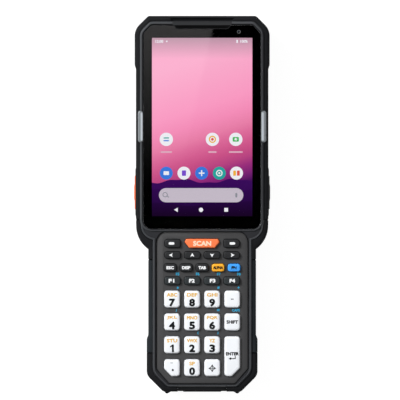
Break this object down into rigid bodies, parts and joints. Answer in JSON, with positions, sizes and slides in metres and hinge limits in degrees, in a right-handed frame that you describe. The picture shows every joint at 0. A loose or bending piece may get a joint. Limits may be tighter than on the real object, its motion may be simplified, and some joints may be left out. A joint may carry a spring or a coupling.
{
  "type": "portable barcode data terminal",
  "caption": "Hand-held barcode data terminal with a touch display over a raised keypad, side scan triggers, rubber guards and a scanner window in its top end.",
  "frame": {"origin": "centre of the footprint, on the surface that the terminal lies on", "axes": "+X across the width, +Y along the length towards the display end, +Z out of the display"},
  "size_m": [0.0794, 0.2204, 0.034],
  "materials": {
    "housing_plastic": "fine moulded grain, satin",
    "guard_rubber": "fine grain, matt",
    "grip_rubber": "fine grain, matt",
    "trim_plastic": "satin",
    "lens_plastic": "frosted lens",
    "cover_glass": "polished, black printed border",
    "display_module": "lit picture of soft pink to purple hills",
    "plate_plastic": "fine grain, satin",
    "mat_silicone": "smooth, matt",
    "circuit_board": "solder mask",
    "module_plastic": "satin",
    "scan_glass": "polished, deep red filter",
    "contact_brass": "gold plated",
    "steel": "stamped, tin plated",
    "screw_steel": "black zinc",
    "battery_plastic": "fine grain, satin",
    "control_plastic": "fine grain, satin",
    "trigger_orange": "fine grain, satin",
    "cover_rubber": "smooth, matt",
    "key_white": "silk gloss, printed black and orange",
    "key_black": "silk gloss, printed white",
    "key_orange": "silk gloss, printed white",
    "key_yellow": "silk gloss, printed black",
    "key_blue": "silk gloss, printed black"
  },
  "bodies": {
    "housing": {"front_housing": "housing_plastic", "rear_housing": "housing_plastic", "top_bumper": "guard_rubber", "bottom_bumper": "guard_rubber", "grip_strips": "grip_rubber", "receiver_bar": "trim_plastic", "light_bars": "lens_plastic", "display_glass": "cover_glass", "display_panel": "display_module", "keypad_panel": "plate_plastic", "keypad_mat": "mat_silicone", "keypad_board": "circuit_board", "main_board": "circuit_board", "scan_engine": "module_plastic", "scan_window": "scan_glass", "rear_camera": "module_plastic", "speaker": "module_plastic", "battery_contacts": "contact_brass", "usb_socket": "steel", "port_hinge_pin": "steel", "side_switches": "steel", "case_screws": "screw_steel"},
    "key_soft_left": {"key_soft_left": "key_black"},
    "key_scan": {"key_scan": "key_orange"},
    "key_soft_right": {"key_soft_right": "key_black"},
    "key_left": {"key_left": "key_black"},
    "key_up": {"key_up": "key_black"},
    "key_down": {"key_down": "key_black"},
    "key_right": {"key_right": "key_black"},
    "key_esc": {"key_esc": "key_black"},
    "key_display": {"key_display": "key_black"},
    "key_tab": {"key_tab": "key_black"},
    "key_alpha": {"key_alpha": "key_yellow"},
    "key_fn": {"key_fn": "key_blue"},
    "key_f1": {"key_f1": "key_black"},
    "key_f2": {"key_f2": "key_black"},
    "key_f3": {"key_f3": "key_black"},
    "key_f4": {"key_f4": "key_black"},
    "key_7": {"key_7": "key_white"},
    "key_8": {"key_8": "key_white"},
    "key_9": {"key_9": "key_white"},
    "key_minus": {"key_minus": "key_white"},
    "key_4": {"key_4": "key_white"},
    "key_5": {"key_5": "key_white"},
    "key_6": {"key_6": "key_white"},
    "key_shift": {"key_shift": "key_white"},
    "key_1": {"key_1": "key_white"},
    "key_2": {"key_2": "key_white"},
    "key_3": {"key_3": "key_white"},
    "key_enter": {"key_enter": "key_white"},
    "key_dot": {"key_dot": "key_white"},
    "key_0": {"key_0": "key_white"},
    "key_nav": {"key_nav": "key_white"},
    "scan_trigger_left": {"scan_trigger_left": "trigger_orange"},
    "scan_trigger_right": {"scan_trigger_right": "control_plastic"},
    "power_button": {"power_button": "control_plastic"},
    "volume_rocker": {"volume_rocker": "control_plastic"},
    "battery_pack": {"battery_pack": "battery_plastic"},
    "battery_latch": {"battery_latch": "control_plastic"},
    "port_cover": {"port_cover": "cover_rubber"}
  },
  "joints": [
    {"name": "press_key_soft_left", "type": "slide", "parent": "housing", "child": "key_soft_left", "axis": [0, 0, -1], "range_m": [0, 0.0005], "stiffness_N_per_m": 2000},
    {"name": "press_key_scan", "type": "slide", "parent": "housing", "child": "key_scan", "axis": [0, 0, -1], "range_m": [0, 0.0005], "stiffness_N_per_m": 2000},
    {"name": "press_key_soft_right", "type": "slide", "parent": "housing", "child": "key_soft_right", "axis": [0, 0, -1], "range_m": [0, 0.0005], "stiffness_N_per_m": 2000},
    {"name": "press_key_left", "type": "slide", "parent": "housing", "child": "key_left", "axis": [0, 0, -1], "range_m": [0, 0.0005], "stiffness_N_per_m": 2000},
    {"name": "press_key_up", "type": "slide", "parent": "housing", "child": "key_up", "axis": [0, 0, -1], "range_m": [0, 0.0005], "stiffness_N_per_m": 2000},
    {"name": "press_key_down", "type": "slide", "parent": "housing", "child": "key_down", "axis": [0, 0, -1], "range_m": [0, 0.0005], "stiffness_N_per_m": 2000},
    {"name": "press_key_right", "type": "slide", "parent": "housing", "child": "key_right", "axis": [0, 0, -1], "range_m": [0, 0.0005], "stiffness_N_per_m": 2000},
    {"name": "press_key_esc", "type": "slide", "parent": "housing", "child": "key_esc", "axis": [0, 0, -1], "range_m": [0, 0.0005], "stiffness_N_per_m": 2000},
    {"name": "press_key_display", "type": "slide", "parent": "housing", "child": "key_display", "axis": [0, 0, -1], "range_m": [0, 0.0005], "stiffness_N_per_m": 2000},
    {"name": "press_key_tab", "type": "slide", "parent": "housing", "child": "key_tab", "axis": [0, 0, -1], "range_m": [0, 0.0005], "stiffness_N_per_m": 2000},
    {"name": "press_key_alpha", "type": "slide", "parent": "housing", "child": "key_alpha", "axis": [0, 0, -1], "range_m": [0, 0.0005], "stiffness_N_per_m": 2000},
    {"name": "press_key_fn", "type": "slide", "parent": "housing", "child": "key_fn", "axis": [0, 0, -1], "range_m": [0, 0.0005], "stiffness_N_per_m": 2000},
    {"name": "press_key_f1", "type": "slide", "parent": "housing", "child": "key_f1", "axis": [0, 0, -1], "range_m": [0, 0.0005], "stiffness_N_per_m": 2000},
    {"name": "press_key_f2", "type": "slide", "parent": "housing", "child": "key_f2", "axis": [0, 0, -1], "range_m": [0, 0.0005], "stiffness_N_per_m": 2000},
    {"name": "press_key_f3", "type": "slide", "parent": "housing", "child": "key_f3", "axis": [0, 0, -1], "range_m": [0, 0.0005], "stiffness_N_per_m": 2000},
    {"name": "press_key_f4", "type": "slide", "parent": "housing", "child": "key_f4", "axis": [0, 0, -1], "range_m": [0, 0.0005], "stiffness_N_per_m": 2000},
    {"name": "press_key_7", "type": "slide", "parent": "housing", "child": "key_7", "axis": [0, 0, -1], "range_m": [0, 0.0005], "stiffness_N_per_m": 2000},
    {"name": "press_key_8", "type": "slide", "parent": "housing", "child": "key_8", "axis": [0, 0, -1], "range_m": [0, 0.0005], "stiffness_N_per_m": 2000},
    {"name": "press_key_9", "type": "slide", "parent": "housing", "child": "key_9", "axis": [0, 0, -1], "range_m": [0, 0.0005], "stiffness_N_per_m": 2000},
    {"name": "press_key_minus", "type": "slide", "parent": "housing", "child": "key_minus", "axis": [0, 0, -1], "range_m": [0, 0.0005], "stiffness_N_per_m": 2000},
    {"name": "press_key_4", "type": "slide", "parent": "housing", "child": "key_4", "axis": [0, 0, -1], "range_m": [0, 0.0005], "stiffness_N_per_m": 2000},
    {"name": "press_key_5", "type": "slide", "parent": "housing", "child": "key_5", "axis": [0, 0, -1], "range_m": [0, 0.0005], "stiffness_N_per_m": 2000},
    {"name": "press_key_6", "type": "slide", "parent": "housing", "child": "key_6", "axis": [0, 0, -1], "range_m": [0, 0.0005], "stiffness_N_per_m": 2000},
    {"name": "press_key_shift", "type": "slide", "parent": "housing", "child": "key_shift", "axis": [0, 0, -1], "range_m": [0, 0.0005], "stiffness_N_per_m": 2000},
    {"name": "press_key_1", "type": "slide", "parent": "housing", "child": "key_1", "axis": [0, 0, -1], "range_m": [0, 0.0005], "stiffness_N_per_m": 2000},
    {"name": "press_key_2", "type": "slide", "parent": "housing", "child": "key_2", "axis": [0, 0, -1], "range_m": [0, 0.0005], "stiffness_N_per_m": 2000},
    {"name": "press_key_3", "type": "slide", "parent": "housing", "child": "key_3", "axis": [0, 0, -1], "range_m": [0, 0.0005], "stiffness_N_per_m": 2000},
    {"name": "press_key_enter", "type": "slide", "parent": "housing", "child": "key_enter", "axis": [0, 0, -1], "range_m": [0, 0.0005], "stiffness_N_per_m": 2000},
    {"name": "press_key_dot", "type": "slide", "parent": "housing", "child": "key_dot", "axis": [0, 0, -1], "range_m": [0, 0.0005], "stiffness_N_per_m": 2000},
    {"name": "press_key_0", "type": "slide", "parent": "housing", "child": "key_0", "axis": [0, 0, -1], "range_m": [0, 0.0005], "stiffness_N_per_m": 2000},
    {"name": "press_key_nav", "type": "slide", "parent": "housing", "child": "key_nav", "axis": [0, 0, -1], "range_m": [0, 0.0005], "stiffness_N_per_m": 2000},
    {"name": "press_scan_trigger_left", "type": "slide", "parent": "housing", "child": "scan_trigger_left", "axis": [1, 0, 0], "range_m": [0, 0.0008], "stiffness_N_per_m": 3000},
    {"name": "press_scan_trigger_right", "type": "slide", "parent": "housing", "child": "scan_trigger_right", "axis": [-1, 0, 0], "range_m": [0, 0.0008], "stiffness_N_per_m": 3000},
    {"name": "press_power_button", "type": "slide", "parent": "housing", "child": "power_button", "axis": [1, 0, 0], "range_m": [0, 0.0005], "stiffness_N_per_m": 2500},
    {"name": "rock_volume_rocker", "type": "hinge", "parent": "housing", "child": "volume_rocker", "pos_m": [0.0352, 0.0648, 0.02], "axis": [0, 0, 1], "range_deg": [-2.5, 2.5], "stiffness_Nm_per_rad": 0.16},
    {"name": "tilt_battery_pack", "type": "hinge", "parent": "housing", "child": "battery_pack", "pos_m": [0, 0.0435, 0.0022], "axis": [1, 0, 0], "range_deg": [0, 22]},
    {"name": "slide_battery_latch", "type": "slide", "parent": "housing", "child": "battery_latch", "axis": [0, 1, 0], "range_m": [0, 0.003]},
    {"name": "open_port_cover", "type": "hinge", "parent": "housing", "child": "port_cover", "pos_m": [0, -0.10735, 0.0129], "axis": [1, 0, 0], "range_deg": [0, 90]}
  ]
}
